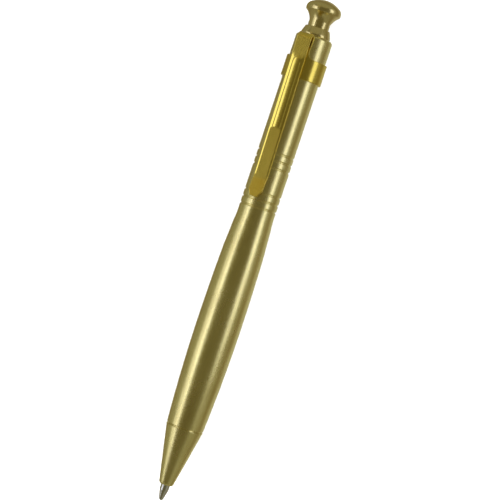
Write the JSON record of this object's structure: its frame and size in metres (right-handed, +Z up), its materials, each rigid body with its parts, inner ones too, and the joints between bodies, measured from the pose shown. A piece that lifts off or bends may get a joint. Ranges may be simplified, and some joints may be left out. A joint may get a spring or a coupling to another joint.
{
  "type": "retractable ballpoint pen",
  "caption": "Retractable ballpoint pen: a turned brass barrel with a long belly and a cone, a push knob, a fold-over spring clip and a standard metal refill.",
  "frame": {"origin": "where the pen is held when clipped on: on its axis, level with the front edge of the clip band, where the edge it is pushed onto stops", "axes": "+X along the pen from the writing point to the push knob, +Z up with the clip on top, +Y across"},
  "size_m": [0.1348, 0.0116, 0.0132],
  "materials": {
    "barrel_brass": "satin brass, brushed lengthwise",
    "trim_brass": "polished brass",
    "clip_gilt": "polished gilt sheet",
    "inner_brass": "machined brass",
    "guide_plastic": "moulded, natural",
    "rotor_plastic": "moulded, white",
    "plunger_plastic": "moulded, black",
    "spring_steel": "drawn wire",
    "refill_steel": "satin tube",
    "point_nickel": "turned and polished nickel silver",
    "ball_carbide": "ground carbide",
    "ink_blue": "ink paste",
    "crown_plastic": "moulded, blue"
  },
  "bodies": {
    "casing": {"barrel": "barrel_brass", "thread_bush": "inner_brass", "collar": "trim_brass", "guide_sleeve": "guide_plastic", "retaining_ring": "spring_steel", "clip_band": "clip_gilt", "return_spring": "spring_steel"},
    "nose": {"nose_cone": "barrel_brass"},
    "button": {"push_knob": "trim_brass", "plunger": "plunger_plastic"},
    "rotor": {"cam_rotor": "rotor_plastic"},
    "refill": {"refill_tube": "refill_steel", "refill_adapter": "inner_brass", "refill_point": "point_nickel", "writing_ball": "ball_carbide", "ink_column": "ink_blue", "refill_crown": "crown_plastic"},
    "clip": {"clip_leaf": "clip_gilt"}
  },
  "joints": [
    {"name": "knob_slide", "type": "slide", "parent": "casing", "child": "button", "axis": [1, 0, 0], "range_m": [-0.0012, 0.0052], "stiffness_N_per_m": 300},
    {"name": "rotor_slide", "type": "slide", "parent": "casing", "child": "rotor", "axis": [1, 0, 0], "range_m": [-0.0012, 0.0052]},
    {"name": "refill_slide", "type": "slide", "parent": "casing", "child": "refill", "axis": [1, 0, 0], "range_m": [-0.0012, 0.0052], "deforming": ["return_spring"]},
    {"name": "clip_flex", "type": "hinge", "parent": "casing", "child": "clip", "pos_m": [0.01012, 0, 0.0061], "axis": [0, 1, 0], "range_deg": [0, 3.5], "stiffness_Nm_per_rad": 1.2},
    {"name": "nose_cone_off", "type": "slide", "parent": "casing", "child": "nose", "axis": [-1, 0, 0], "range_m": [0, 0.027]}
  ],
  "couplings": [
    {"joint": "rotor_slide", "follows": "knob_slide", "ratio": 1},
    {"joint": "refill_slide", "follows": "knob_slide", "ratio": 1}
  ]
}
